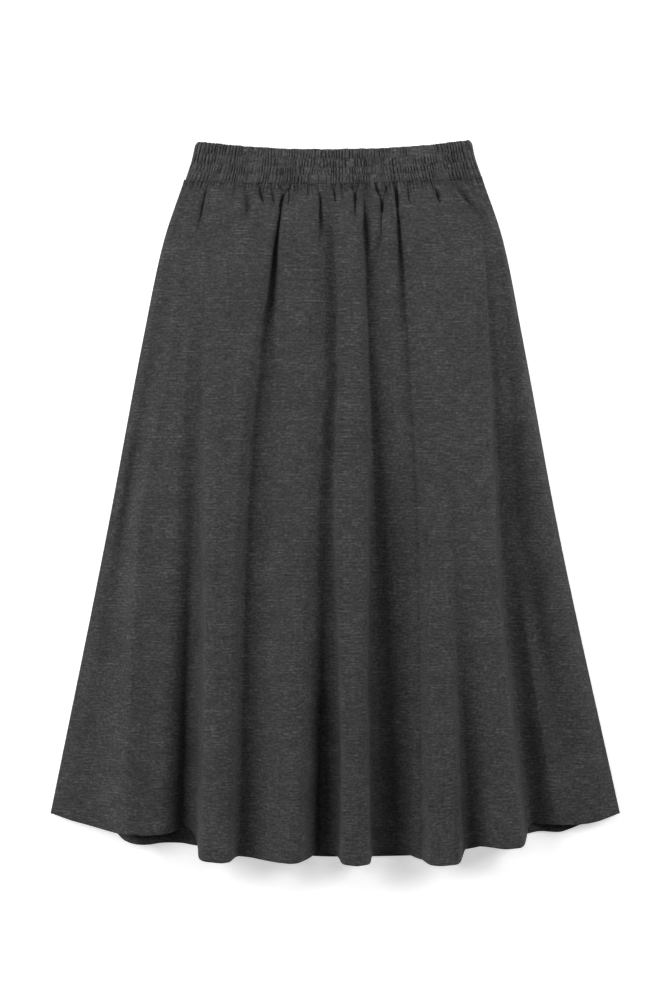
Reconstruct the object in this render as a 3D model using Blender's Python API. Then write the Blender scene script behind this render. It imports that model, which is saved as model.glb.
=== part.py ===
"""Flared skirt with a gathered elastic waistband, laid flat on its back.

Four cut pieces, each a closed cloth wall: the back panel and the back of the
waistband lie flat on the surface, and the front panel and the front of the
waistband lie over them. The front panel stands in soft flutes that grow from
the waist seam to the hem. X runs across, Y from hem to waist, Z up.
Sizes are in millimetres and are turned into metres at the end.
"""

import math

import bpy
import numpy as np

MM = 0.001

# ---- named sizes, mm ---------------------------------------------------------
CLOTH = 1.6  # wall of the skirt cloth
HEM_DEPTH = 20.0  # cloth turned up inside the hem
HEM_TURN = 1.0  # how much thicker the wall is there
SEAM_GAP = 0.3  # between pieces that are sewn together

ORIGIN = (2.0, 1.5)  # middle of the laid outline, from the drafting lines

SEAM_Y = 366.5  # waist seam at the middle
SEAM_ARC = 5.0  # how much higher the seam is at its ends
SEAM_TILT = 2.0  # and how much more so on the right
SEAM_HALF = 172.0  # half the laid width at the seam

BAND_HEIGHT = 40.0
BAND_ARC = 4.5  # the upper edge bows this much more than the seam
BAND_TOP_HALF = 160.0  # half the laid width at the upper edge
BAND_WALL = 3.0  # cloth, elastic and cloth
BAND_ROWS = 4  # rows of elastic, each a puffed strip
BAND_GATHERS = 90  # fine gathers across the front
GATHER_RISE = 0.9  # how far a gather stands over its groove
ROW_DIP = 0.7  # how deep the stitched lines lie
BAND_ROLL = 0.9  # how far the side edges roll down

# where the table's columns lie, as shares of the way from waist seam to hem
STATIONS = (0.0, 0.10, 0.25, 0.55, 1.0)

# Lines that run down the front panel: each flute's crest and each groove
# between. x and z at the five stations, then the line's place at the hem.
# half: half the width of a crest's flat top at the hem; 0 for a slight one.
LINE_COLUMNS = ("name", "kind", "x", "z", "hem_y", "half")
LINES = (
    ("side_left", "side", (-173, -197, -220, -261, -327), (2.8, 2.8, 2.8, 2.8, 4.8), -361, 0),
    ("edge_left", "crest", (-168, -188, -209, -249, -308), (5, 10, 12, 14, 14), -366, 0),
    ("dip_left", "groove", (-164, -177, -195, -237, -276), (5, 9, 9, 9, 11), -373, 0),
    ("flute_1", "crest", (-158, -167, -182, -215, -229), (5, 17, 24, 36, 40), -379, 6),
    ("dip_1", "groove", (-153, -162, -174, -200, -203), (5, 17, 24, 33, 30), -382, 0),
    ("flute_1b", "crest", (-150, -158, -166, -186, -190), (5, 17, 23, 34, 35), -380, 0),
    ("groove_a", "groove", (-147, -155, -155, -167, -173), (4, 13, 19, 19, 5), -375, 0),
    ("flute_2", "crest", (-117, -119, -125, -135, -128), (5, 20, 29, 44, 57), -409, 7),
    ("groove_b", "groove", (-58, -67, -80, -96, -105), (3.6, 3.0, 10, 20, 18), -407, 0),
    ("flute_3", "crest", (-35, -33, -41, -44, -54), (5, 22, 29, 43, 55), -411, 9),
    ("groove_c", "groove", (-17, -6, -3, -9, -16), (4, 11, 13, 15, 5), -407, 0),
    ("flute_4", "crest", (9, 13, 19, 22, 26), (5, 22, 29, 44, 58), -413, 5),
    ("groove_d", "groove", (33, 37, 41, 49, 57), (3.8, 6, 8, 8, 5), -406, 0),
    ("ledge_d", "crest", (56, 59, 67, 79, 86), (5, 22, 27, 30, 32), -408, 0),
    ("groove_d2", "groove", (72, 77, 86, 97, 98), (3.8, 3.4, 12, 34, 41), -410, 0),
    ("flute_5", "crest", (93, 100, 105, 114, 122), (5, 22, 29, 44, 57), -412, 9),
    ("groove_e", "groove", (119, 130, 134, 142, 157), (4.6, 19, 26, 33, 13), -399, 0),
    ("flute_6", "crest", (131, 155, 156, 169, 195), (5, 17, 25, 39, 52), -396, 8),
    ("groove_f", "groove", (142, 177, 182, 199, 227), (4.2, 8, 10, 7, 5), -372, 0),
    ("ledge_f", "crest", (148, 182, 191, 212, 252), (5, 10, 14, 12, 20), -371, 0),
    ("groove_f2", "groove", (154, 186, 199, 225, 276), (5, 10, 13, 10, 15), -370, 0),
    ("edge_right", "crest", (161, 190, 208, 247, 308), (5, 11, 16, 24, 18), -365, 0),
    ("side_right", "side", (172, 196, 218, 259, 331), (2.8, 2.8, 2.8, 2.8, 4.8), -361, 0),
)

# The walls of the deep grooves. At the hem, from the groove's own line: where
# each wall tops out (edge) and where it meets the bottom (foot), left then
# right. lift: how far up the wall its foot lies, as a share. top: how wide the
# groove is on each side near the waist, where it is a narrow V.
WALL_COLUMNS = (
    "name", "edge_left", "foot_left", "lift_left", "foot_right", "edge_right", "lift_right",
    "top_left", "top_right",
)  # fmt: skip
WALLS = (
    ("groove_a", -13, -5, 0.20, 19, 27, 0.36, 9, 9),
    ("groove_b", -16, -6, 0.15, 12, 40, 0.26, 7, 7),
    ("groove_c", -22, -9, 0.34, 11, 25, 0.40, 17, 12),
    ("groove_d", -15, -9, 0.36, 11, 26, 0.28, 5, 20),
    ("groove_d2", -6, -3, 0.10, 3, 10, 0.30, 7, 7),
    ("groove_e", -17, -12, 0.42, 11, 28, 0.24, 10, 10),
    ("groove_f", -14, -11, 0.40, 9, 18, 0.14, 8, 8),
)

GROOVE_BED = 1.5  # half the width of a groove's lowest strip

# the back panel's own hem, which shows below the front's at both sides
BACK_HEM_COLUMNS = ("x", "y")
BACK_HEM = (
    (-327, -361),
    (-250, -386),
    (-215, -398),
    (-160, -400),
    (-85, -406),
    (0, -412),
    (80, -411),
    (150, -404),
    (205, -390),
    (250, -382),
    (290, -374),
    (331, -361),
)

# how finely the walls are divided
FRONT_ACROSS = 76
FRONT_DOWN = (
    0.0, 0.014, 0.034, 0.06, 0.09, 0.125, 0.165, 0.21, 0.26, 0.315, 0.375,
    0.44, 0.505, 0.575, 0.645, 0.715, 0.785, 0.85, 0.91, 0.955,
)  # fmt: skip
BEND_SHARE = 0.45  # how much of the dividing follows the bends, not the length
BACK_ACROSS = 20
BACK_DOWN = (0.0, 0.1, 0.25, 0.55, 0.8)


# ---- small helpers -----------------------------------------------------------
def smooth_through(knots, values, at):
    """A curve through the values that never swings past them."""
    knots, values = np.asarray(knots, float), np.asarray(values, float)
    step = np.diff(knots)
    slope = np.diff(values) / step
    tangent = np.zeros(len(values))
    for i in range(1, len(values) - 1):
        if slope[i - 1] * slope[i] > 0:
            w1 = 2 * step[i] + step[i - 1]
            w2 = step[i] + 2 * step[i - 1]
            tangent[i] = (w1 + w2) / (w1 / slope[i - 1] + w2 / slope[i])
    tangent[0], tangent[-1] = slope[0], slope[-1]
    k = int(np.clip(np.searchsorted(knots, at, side="right") - 1, 0, len(step) - 1))
    t = (at - knots[k]) / step[k]
    a, b = values[k], values[k + 1]
    ta, tb = tangent[k] * step[k], tangent[k + 1] * step[k]
    return (
        a * (2 * t**3 - 3 * t**2 + 1)
        + ta * (t**3 - 2 * t**2 + t)
        + b * (3 * t**2 - 2 * t**3)
        + tb * (t**3 - t**2)
    )


def ease(t):
    t = min(max(t, 0.0), 1.0)
    return t * t * (3 - 2 * t)


def seam_line(x):
    """The waist seam's Y at a given X."""
    return SEAM_Y + SEAM_ARC * (x / SEAM_HALF) ** 2 + SEAM_TILT * x / SEAM_HALF


# ---- the front panel's sections ----------------------------------------------
def section(v):
    """Guide points of the front panel's section at a share v of its length."""
    lines = [dict(zip(LINE_COLUMNS, row)) for row in LINES]
    walls = {row[0]: dict(zip(WALL_COLUMNS, row)) for row in WALLS}
    place = [
        (smooth_through(STATIONS, r["x"], v), smooth_through(STATIONS, r["z"], v), r["hem_y"])
        for r in lines
    ]
    grown = ease((v - 0.30) / 0.60)
    points = []
    for i, row in enumerate(lines):
        x, z, hem_y = place[i]
        if row["name"] in walls:
            w = walls[row["name"]]
            (xl, zl, yl), (xr, zr, yr) = place[i - 1], place[i + 1]
            # near the waist a groove is a narrow V of its own width
            left = min(w["top_left"], 0.8 * (x - xl))
            right = min(w["top_right"], 0.8 * (xr - x))
            upper = {
                "edge_left": -left,
                "foot_left": -0.45 * left,
                "lift_left": 0.12,
                "foot_right": 0.45 * right,
                "edge_right": right,
                "lift_right": 0.12,
            }
            at = {k: upper[k] + (w[k] - upper[k]) * grown for k in upper}
            points += [
                (x + at["edge_left"], z + 0.86 * (zl - z), yl),
                (x + at["foot_left"], z + at["lift_left"] * (zl - z), 0.5 * hem_y + 0.5 * yl),
                (x - GROOVE_BED, z, hem_y),
                (x + GROOVE_BED, z, hem_y),
                (x + at["foot_right"], z + at["lift_right"] * (zr - z), 0.5 * hem_y + 0.5 * yr),
                (x + at["edge_right"], z + 0.86 * (zr - z), yr),
            ]
        elif row["half"]:
            half = row["half"] * (0.25 + 0.75 * v)
            points += [(x + s * half, z, hem_y) for s in (-1, 0, 1)]
        else:
            points.append((x, z, hem_y))
    return np.array(points)


def soft_curve(points, at):
    """A smooth curve led by the guide points, read at the given parameters."""
    ends = [2 * points[0] - points[1]], [2 * points[-1] - points[-2]]
    c = np.vstack([ends[0], points, ends[1]])
    k = np.clip(np.floor(at).astype(int), 0, len(points) - 2)
    t = (at - k)[:, None]
    return (
        c[k] * (1 - t) ** 3
        + c[k + 1] * (3 * t**3 - 6 * t**2 + 4)
        + c[k + 2] * (-3 * t**3 + 3 * t**2 + 3 * t + 1)
        + c[k + 3] * t**3
    ) / 6


def even_steps(count):
    """Curve parameters spread along the hem, closer together round its bends."""
    guide = section(1.0)
    fine = np.linspace(0, len(guide) - 1, 4001)
    step = np.diff(soft_curve(guide, fine)[:, :2], axis=0)
    length = np.hypot(*step.T)
    angle = np.unwrap(np.arctan2(step[:, 1], step[:, 0]))
    bend = np.concatenate([[0], np.abs(np.diff(angle))])
    share = (1 - BEND_SHARE) * length / length.sum() + BEND_SHARE * bend / bend.sum()
    run = np.concatenate([[0], np.cumsum(share)])
    return np.interp(np.linspace(0, 1, count), run, fine)


def front_row(v, params):
    curve = soft_curve(section(v), params)
    x, z, hem_y = curve.T
    top = seam_line(soft_curve(section(0.0), params)[:, 0])
    y = top + (hem_y - top) * v
    return np.column_stack([x, y, z])


def down_to_hem(down, length):
    """The given shares, then the step in thickness above the hem, and the hem."""
    turn = 1 - HEM_DEPTH / length
    return [*down, turn - 0.0015, turn, 1.0], [0] * (len(down) + 1) + [1, 1]


# ---- walls -------------------------------------------------------------------
def normals(grid):
    across = np.gradient(grid, axis=1)
    down = np.gradient(grid, axis=0)
    n = np.cross(down, across)
    return n / np.linalg.norm(n, axis=2)[:, :, None]


def closed_wall(name, upper, lower):
    """A closed solid between two grids of points, rows from waist to hem."""
    rows, cols = upper.shape[:2]
    under = len(lower)  # a plain inside may have fewer rows
    verts = np.vstack([upper.reshape(-1, 3), lower.reshape(-1, 3)])
    verts = (verts - np.array([*ORIGIN, 0.0])) * MM

    def up(r, c):
        return r * cols + c

    def lo(r, c):
        return rows * cols + r * cols + c

    faces = []
    for c in range(cols - 1):
        for r in range(rows - 1):
            faces.append((up(r, c), up(r + 1, c), up(r + 1, c + 1), up(r, c + 1)))
        for r in range(under - 1):
            faces.append((lo(r, c), lo(r, c + 1), lo(r + 1, c + 1), lo(r + 1, c)))
        faces.append((up(0, c), up(0, c + 1), lo(0, c + 1), lo(0, c)))
        low_u, low_l = up(rows - 1, c), lo(under - 1, c)
        faces.append((low_u + 1, low_u, low_l, low_l + 1))
    for c, turn in ((0, 1), (cols - 1, -1)):
        if under == rows:
            ends = [(up(r + 1, c), up(r, c), lo(r, c), lo(r + 1, c)) for r in range(rows - 1)]
        else:
            # one face for the rounded corner, one for the straight side below it
            ends = [
                (up(1, c), up(0, c), lo(0, c), lo(1, c)),
                (*(up(r, c) for r in range(rows - 1, 0, -1)), lo(1, c), lo(2, c)),
            ]
        faces += [face[::turn] for face in ends]
    mesh = bpy.data.meshes.new(name)
    mesh.from_pydata([tuple(v) for v in verts], [], faces)
    mesh.validate()
    mesh.update()
    obj = bpy.data.objects.new(name, mesh)
    bpy.context.scene.collection.objects.link(obj)
    return obj


def finish(obj, colour, roughness):
    mat = bpy.data.materials.new(obj.name)
    mat.use_nodes = True
    shader = mat.node_tree.nodes["Principled BSDF"]
    shader.inputs["Base Color"].default_value = (*colour, 1.0)
    shader.inputs["Roughness"].default_value = roughness
    obj.data.materials.append(mat)
    return obj


def make_front_panel():
    params = even_steps(FRONT_ACROSS)
    shares, turned = down_to_hem(FRONT_DOWN, SEAM_Y + 400)
    mid = np.array([front_row(v, params) for v in shares])
    mid[0, :, 1] -= SEAM_GAP
    n = normals(mid)
    n[0, :, 1] = 0  # the seam edge is cut square, so it stays off the waistband
    n[0] /= np.linalg.norm(n[0], axis=1)[:, None]
    outer = mid + n * CLOTH / 2
    extra = np.array(turned)[:, None, None] * HEM_TURN
    inner = mid - n * (CLOTH / 2 + extra)
    return closed_wall("front_panel", outer, inner)


def make_back_panel():
    left = dict(zip(LINE_COLUMNS, LINES[0]))["x"]
    right = dict(zip(LINE_COLUMNS, LINES[-1]))["x"]
    shares, turned = down_to_hem(BACK_DOWN, SEAM_Y + 400)
    hem_x = [row[0] for row in BACK_HEM]
    hem_y = [row[1] for row in BACK_HEM]
    upper, lower = [], []
    for v, thick in zip(shares, turned):
        a, b = smooth_through(STATIONS, left, v), smooth_through(STATIONS, right, v)
        row = []
        for i in range(BACK_ACROSS + 1):
            u = i / BACK_ACROSS
            x = a + (b - a) * u
            x_top = left[0] + (right[0] - left[0]) * u
            x_hem = left[-1] + (right[-1] - left[-1]) * u
            top = seam_line(x_top) - SEAM_GAP * (v == 0)
            y = top + (smooth_through(hem_x, hem_y, x_hem) - top) * v
            row.append((x, y))
        row = np.array(row)
        flat = np.zeros(len(row))
        lower.append(np.column_stack([row, flat]))
        upper.append(np.column_stack([row, flat + CLOTH + thick * HEM_TURN]))
    return closed_wall("back_panel", np.array(upper), np.array(lower))


def band_point(u, h):
    """X and Y on the waistband: u from -1 to 1 across, h from seam to top."""
    half = SEAM_HALF + (BAND_TOP_HALF - SEAM_HALF) * h
    half -= 3.0 * max(0.0, (h - 0.875) / 0.125) ** 2  # the corners are rounded
    x = half * u
    top = SEAM_Y + BAND_HEIGHT + (SEAM_ARC + BAND_ARC) * u**2
    low = seam_line(SEAM_HALF * u)
    return x, low + (top - low) * h


def make_band_back():
    grid = []
    for h in (1.0, 0.875, 0.0):
        grid.append([(*band_point(-1 + i / 8, h), 0.0) for i in range(17)])
    lower = np.array(grid)
    upper = lower + np.array([0, 0, BAND_WALL])
    return closed_wall("waistband_back", upper, lower)


def make_band_front():
    """The shirred front: gathers between rows of elastic, over a plain inside."""
    inside = BAND_WALL + SEAM_GAP
    outside = inside + BAND_WALL - GATHER_RISE / 2
    steps = 2 * BAND_ROWS
    columns = 2 * BAND_GATHERS
    upper = []
    for k in range(steps, -1, -1):
        h = k / steps
        on_stitch = k % 2 == 0 and 0 < k < steps
        puff = 0.0 if k % 2 == 0 else 1.0
        above = []
        for i in range(columns + 1):
            u = -1 + 2 * i / columns
            # gathers are never quite even, and each row breaks them a little
            wander = 0.30 * math.sin(2.3 * i) + 0.22 * math.sin(0.7 * i + 1.9 * k)
            x, y = band_point(u + wander * (1 - u * u) / columns, h)
            crest = 1.0 if i % 2 else -1.0
            rise = GATHER_RISE * (0.5 + 0.18 * math.sin(1.1 * i + 0.8 * k))
            z = outside + crest * rise * (0.55 + 0.45 * puff)
            z -= ROW_DIP if on_stitch else 0.0
            z -= 0.5 * ROW_DIP if k in (0, steps) else 0.0
            z -= BAND_ROLL * max(0.0, (abs(u) - 0.965) / 0.035) ** 2
            above.append((x, y, z))
        upper.append(above)
    shares = [-1 + 2 * i / columns for i in range(columns + 1)]
    lower = [[(*band_point(u, h), inside) for u in shares] for h in (1.0, 1 - 1 / steps, 0.0)]
    return closed_wall("waistband_front", np.array(upper), np.array(lower))


def build():
    for old in list(bpy.data.objects):
        bpy.data.objects.remove(old, do_unlink=True)
    charcoal = (0.045, 0.045, 0.048)
    return [
        finish(make_back_panel(), charcoal, 0.9),
        finish(make_front_panel(), (0.055, 0.055, 0.058), 0.9),
        finish(make_band_back(), (0.035, 0.035, 0.038), 0.9),
        finish(make_band_front(), (0.04, 0.04, 0.043), 0.9),
    ]


build()
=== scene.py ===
# %% [markdown]
# # A flared skirt with a gathered waistband, laid flat
#
# The skirt lies on its back on a pale surface. Two panels of soft heathered
# cloth are joined at the sides, gathered into a wide elastic band at the
# waist, and turned up at the hem. Lengths in the tables are millimetres; they
# are turned into metres where the meshes are made. X runs across, Y from the
# hem up to the waist, and Z up.

# %% Load the frame
import math

import bpy
import numpy as np
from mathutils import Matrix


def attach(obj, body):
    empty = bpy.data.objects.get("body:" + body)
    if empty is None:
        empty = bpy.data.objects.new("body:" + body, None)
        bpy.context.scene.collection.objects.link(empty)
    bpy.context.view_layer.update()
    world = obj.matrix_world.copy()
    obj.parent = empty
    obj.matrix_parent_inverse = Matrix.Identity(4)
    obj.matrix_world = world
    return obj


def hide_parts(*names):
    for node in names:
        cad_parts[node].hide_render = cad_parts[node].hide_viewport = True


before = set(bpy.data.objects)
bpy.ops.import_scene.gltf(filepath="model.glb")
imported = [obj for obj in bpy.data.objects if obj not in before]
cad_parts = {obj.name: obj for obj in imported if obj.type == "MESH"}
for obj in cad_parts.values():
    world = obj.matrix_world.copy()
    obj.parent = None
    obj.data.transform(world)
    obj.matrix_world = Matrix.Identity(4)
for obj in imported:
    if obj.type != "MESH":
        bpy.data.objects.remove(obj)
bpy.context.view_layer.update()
MM = 0.001

# %% [markdown]
# ## A curve that never overshoots
#
# Every fold of the skirt is described at a few stations between waist and hem.
# A plain spline through such numbers swings past them and gives a fold waves
# it doesn't have. This one keeps between its neighbours: where the values stop
# rising, its slope is zero. It works on whole rows at once.


# %% Helpers for smooth numbers
def smooth_through(knots, values, at):
    knots, values = np.asarray(knots, float), np.asarray(values, float)
    at = np.clip(np.asarray(at, float), knots[0], knots[-1])
    step = np.diff(knots)
    slope = np.diff(values) / step
    tangent = np.zeros(len(values))
    for i in range(1, len(values) - 1):
        if slope[i - 1] * slope[i] > 0:
            w1 = 2 * step[i] + step[i - 1]
            w2 = step[i] + 2 * step[i - 1]
            tangent[i] = (w1 + w2) / (w1 / slope[i - 1] + w2 / slope[i])
    tangent[0], tangent[-1] = slope[0], slope[-1]
    k = np.clip(np.searchsorted(knots, at, side="right") - 1, 0, len(step) - 1)
    t = (at - knots[k]) / step[k]
    a, b = values[k], values[k + 1]
    ta, tb = tangent[k] * step[k], tangent[k + 1] * step[k]
    rise = 3 * t**2 - 2 * t**3
    return a * (1 - rise) + b * rise + ta * (t**3 - 2 * t**2 + t) + tb * (t**3 - t**2)


def ease(t):
    t = np.clip(t, 0.0, 1.0)
    return t * t * (3 - 2 * t)


print("halfway through an ease:", float(ease(0.5)))

# %% [markdown]
# ## The flutes of the front panel
#
# A flared panel has far more cloth at its hem than at its waist, and when it
# is laid down the spare cloth stands up in flutes. Each row below is a line
# that runs from the waist seam to the hem: the crest of a flute, or the groove
# between two. Its x and z are given at five stations, then its y at the hem.
# `half` is half the width of a crest's rounded top at the hem.
#
# The lines could also come from a cloth simulation, but then the flutes would
# fall where the solver puts them. A table keeps each one in its own place.

# %% The lines of the folds
STATIONS = (0.0, 0.10, 0.25, 0.55, 1.0)
LINE_COLUMNS = ("name", "kind", "x", "z", "hem_y", "half")
LINES = (
    ("side_left", "side", (-173, -197, -220, -261, -327), (2.8, 2.8, 2.8, 2.8, 4.8), -361, 0),
    ("edge_left", "crest", (-168, -190, -212, -252, -308), (5, 10, 11, 9, 13), -367, 0),
    ("dip_left", "groove", (-164, -182, -204, -241, -278), (5, 9, 7, 4, 11), -376, 0),
    ("flute_1", "crest", (-158, -170, -184, -221, -237), (5, 14, 17, 24, 38), -382, 6),
    ("dip_1", "groove", (-154, -164, -174, -200, -212), (5, 14, 18, 23, 31), -384, 0),
    ("flute_1b", "crest", (-150, -160, -167, -185, -199), (5, 16, 21, 27, 31), -382, 0),
    ("groove_a", "groove", (-145, -152, -156, -162, -173), (4.4, 16, 20, 20, 3.5), -375, 0),
    ("flute_2", "crest", (-117, -119, -125, -135, -128), (5, 20, 29, 44, 57), -411, 7),
    ("groove_b", "groove", (-58, -67, -82, -99, -108), (3.9, 2.8, 11.5, 22, 26), -407.5, 0),
    ("flute_3", "crest", (-35, -33, -41, -42, -48), (5, 22, 29, 43, 55), -412.2, 8),
    ("groove_c", "groove", (-17, -3, -1, -11, -16), (4.4, 10, 15, 23, 3.5), -405, 0),
    ("flute_4", "crest", (9, 13, 19, 22, 26), (5, 22, 29, 44, 58), -414, 5),
    ("groove_d", "groove", (34, 37, 41, 49, 57), (4.8, 7, 13, 7, 3.2), -406, 0),
    ("ledge_d", "crest", (56, 59, 67, 79, 86), (5, 20.5, 23, 19, 14), -408, 0),
    ("groove_d2", "groove", (72, 77, 86, 97, 101), (4.2, 13, 18, 29, 28), -411, 0),
    ("flute_5", "crest", (93, 100, 105, 114, 122), (5, 22, 29, 44, 57), -414.5, 9),
    ("groove_e", "groove", (119, 130, 134, 142, 156), (4.6, 19, 26, 37, 23), -396.5, 0),
    ("flute_6", "crest", (131, 155, 156, 166, 197), (5, 17, 25, 39, 52), -396, 5),
    ("groove_f", "groove", (142, 177, 184, 195, 229), (4.2, 12, 12, 3.2, 3.2), -373, 0),
    ("ledge_f", "crest", (148, 183, 192, 209, 257), (5, 12, 11, 3.4, 17), -373, 0),
    ("groove_f2", "groove", (154, 188, 202, 221, 286), (5, 11, 9, 2.9, 15), -374, 0),
    ("edge_right", "crest", (161, 191, 211, 246, 310), (5, 11, 15, 24, 18), -368, 0),
    ("side_right", "side", (172, 196, 218, 259, 331), (2.8, 2.8, 2.8, 2.8, 4.8), -361, 0),
)
# a deep groove, high up and at the hem: distances from its line, and how far
# up its side each foot lies
WALL_COLUMNS = (
    "name", "place", "edge_left", "foot_left", "lift_left", "foot_right", "edge_right", "lift_right",
)  # fmt: skip
WALLS = (
    ("groove_a", "high", -14, -6, 0.12, 6, 14, 0.12),
    ("groove_a", "hem", -15, -4, 0.05, 18.5, 19.5, 0.20),
    ("groove_b", "high", -4.8, -1.4, 0.06, 1.6, 7.4, 0.08),
    ("groove_b", "hem", -9.5, -5, 0.13, 22, 42, 0.22),
    ("groove_c", "high", -15, -7, 0.12, 5, 10, 0.12),
    ("groove_c", "hem", -19.5, -7, 0.24, 24, 24, 0.30),
    ("groove_d", "high", -5.5, -2, 0.12, 9, 26, 0.28),
    ("groove_d", "hem", -14, -14, 0.14, 15, 30, 0.25),
    ("groove_d2", "high", -3.6, -0.9, 0.06, 1.6, 8, 0.14),
    ("groove_d2", "hem", -12, -8, 0.40, 4.5, 8.3, 0.35),
    ("groove_e", "high", -10, -5, 0.12, 5, 10, 0.12),
    ("groove_e", "hem", -11, -8, 0.12, 14, 31, 0.20),
    ("groove_f", "high", -7, -5, 0.12, 4, 9, 0.12),
    ("groove_f", "hem", -10, -7, 0.08, 7, 32, 0.14),
)
# where a groove starts to widen, where it is as wide as at the hem, and how
# much of its width is left at the seam
OPENS = dict(
    groove_a=(0.30, 0.90, 1.0), groove_b=(0.08, 0.40, 0.35), groove_c=(0.30, 0.90, 1.0),
    groove_d=(0.25, 0.85, 0.3), groove_d2=(0.05, 0.25, 0.35), groove_e=(0.30, 0.90, 1.0),
    groove_f=(0.30, 0.90, 1.0),
)  # fmt: skip
crests = sum(line[1] == "crest" for line in LINES)
print(len(LINES), "lines:", crests, "crests, and", len(OPENS), "deep grooves with walls of their own")

# %% [markdown]
# ## From lines to a section
#
# Cut the panel straight across and you see a wavy section. Here it is built
# from guide points: one for a slight crest or dip, three for a rounded flute,
# and ten for a deep groove, whose two walls lean their own way. A uniform
# B-spline then runs softly past the points, as cloth does, and never through a
# corner. Bezier handles could draw the same line, but every fold would need
# more numbers.
#
# Near the seam some deep grooves are pinched narrow. At the hem some walls stand
# upright, so the hem steps down almost at once from one fold to the next.

# %% One wall of a deep groove
SHOULDER, LIP = 0.82, 0.93  # how far up its side a wall ends, and the lip above it
LIP_WIDE = 7.0
TOE = 0.62  # the lowest point of a wall, as a share of the way to its foot
EDGE_ROOM, FOOT_ROOM, LIP_ROOM = 0.86, 0.90, 0.6  # the most that each takes of its room
WALL_HEM = (0.20, 0.70, 0.94, 0.99)  # share of the hem's step at the four points of a wall
CREST_BOW = 0.16  # how a crest's hem curves up beside its middle, as a share of its half width


def wall(x, z, hem_y, side, beside, edge, foot, lift):
    """Its four points from the groove's floor up to the lip, on the side of the crest beside it."""
    top_x, top_z, top_y, top_half = beside
    room = abs(top_x - x) - top_half
    edge = min(edge, EDGE_ROOM * room)
    foot = min(foot, FOOT_ROOM * room)
    lip = min(LIP_WIDE, LIP_ROOM * (room - edge))
    rise, fall = top_z - z, top_y + CREST_BOW * top_half - hem_y
    out = (TOE * foot, foot, edge, edge + lip)
    up = (0.5 * lift, lift, SHOULDER, LIP)
    return [(x + side * o, z + u * rise, hem_y + h * fall) for o, u, h in zip(out, up, WALL_HEM)]


example = wall(0, 3, -400, 1, (40, 50, -414, 5), 20, 8, 0.2)
print("one wall, as x, z and hem y:", np.round(example, 1).tolist())

# %% The section of the front panel
GROOVE_BED = (0.5, 1.5)  # half the width of a groove's floor, high up and at the hem
CREST_FALL = 0.04  # share of its height by which a crest is lower beside its middle
CREST_AT_SEAM = 0.25  # share of a crest's width that is left at the seam
PINCH_ENDS = 0.16  # share of the length over which the seam pinches the grooves


def section(v):
    rows = [dict(zip(LINE_COLUMNS, r)) for r in LINES]
    walls = {(r[0], r[1]): dict(zip(WALL_COLUMNS, r)) for r in WALLS}
    place = [
        (
            float(smooth_through(STATIONS, r["x"], v)),
            float(smooth_through(STATIONS, r["z"], v)),
            r["hem_y"],
            r["half"] * (CREST_AT_SEAM + (1 - CREST_AT_SEAM) * v),
        )
        for r in rows
    ]
    points = []
    for i, row in enumerate(rows):
        x, z, hem_y, half = place[i]
        if row["name"] in OPENS:
            starts, ends, pinch = OPENS[row["name"]]
            pinch += (1 - pinch) * float(ease(v / PINCH_ENDS))
            grown = float(ease((v - starts) / (ends - starts)))
            high, hem = walls[row["name"], "high"], walls[row["name"], "hem"]
            at = {k: high[k] + (hem[k] - high[k]) * grown for k in WALL_COLUMNS[2:]}
            at = {k: w if k.startswith("lift") else w * pinch for k, w in at.items()}
            left = wall(x, z, hem_y, -1, place[i - 1], -at["edge_left"], -at["foot_left"], at["lift_left"])
            right = wall(x, z, hem_y, 1, place[i + 1], at["edge_right"], at["foot_right"], at["lift_right"])
            bed = pinch * (GROOVE_BED[0] + (GROOVE_BED[1] - GROOVE_BED[0]) * grown)
            points += left[::-1] + [(x - bed, z, hem_y), (x + bed, z, hem_y)] + right
        elif half:
            points += [
                (x + s * half, z * (1 - CREST_FALL * abs(s)), hem_y + CREST_BOW * half * abs(s))
                for s in (-1, 0, 1)
            ]
        else:
            points.append((x, z, hem_y))
    return np.array(points)


print("guide points in one section:", len(section(1.0)))


# %% The soft curve past the guide points
def soft_curve(points, at):
    c = np.vstack([2 * points[0] - points[1], points, 2 * points[-1] - points[-2]])
    k = np.clip(np.floor(at).astype(int), 0, len(points) - 2)
    t = (at - k)[:, None]
    return (
        c[k] * (1 - t) ** 3
        + c[k + 1] * (3 * t**3 - 6 * t**2 + 4)
        + c[k + 2] * (-3 * t**3 + 3 * t**2 + 3 * t + 1)
        + c[k + 3] * t**3
    ) / 6


print("the hem's section begins at", soft_curve(section(1.0), np.array([0.0])).round(1).tolist())

# %% [markdown]
# ## The waist seam
#
# The seam between skirt and band is a shallow arc that rises a little more on
# the right. A curve through guide points would do, but a parabola with a tilt
# needs only a few numbers. The hem has no line of its own, because it follows
# from the folds' `hem_y`. The middle of the whole laid outline is put at the
# origin.

# %% The seam's line
ORIGIN = np.array([2.0, 1.5, 0.0])  # the tables' own origin lies this far off
SEAM_Y, SEAM_ARC, SEAM_TILT, SEAM_HALF = 366.5, 5.0, 2.0, 172.0
SEAM_GAP = 0.1  # the back panel ends this far below the seam


def seam_line(x):
    return SEAM_Y + SEAM_ARC * (x / SEAM_HALF) ** 2 + SEAM_TILT * x / SEAM_HALF


print("the seam's ends rise", round(float(seam_line(SEAM_HALF) - seam_line(0)), 1), "mm")

# %% [markdown]
# ## Where the mesh needs points
#
# The mesh is a grid: rows across the skirt, columns down it. The rows lie
# closer together below the waistband, where the fine gathers are, and the
# columns closer together where the hem bends. An even grid as fine as that
# would have almost three times as many rows.

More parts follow.
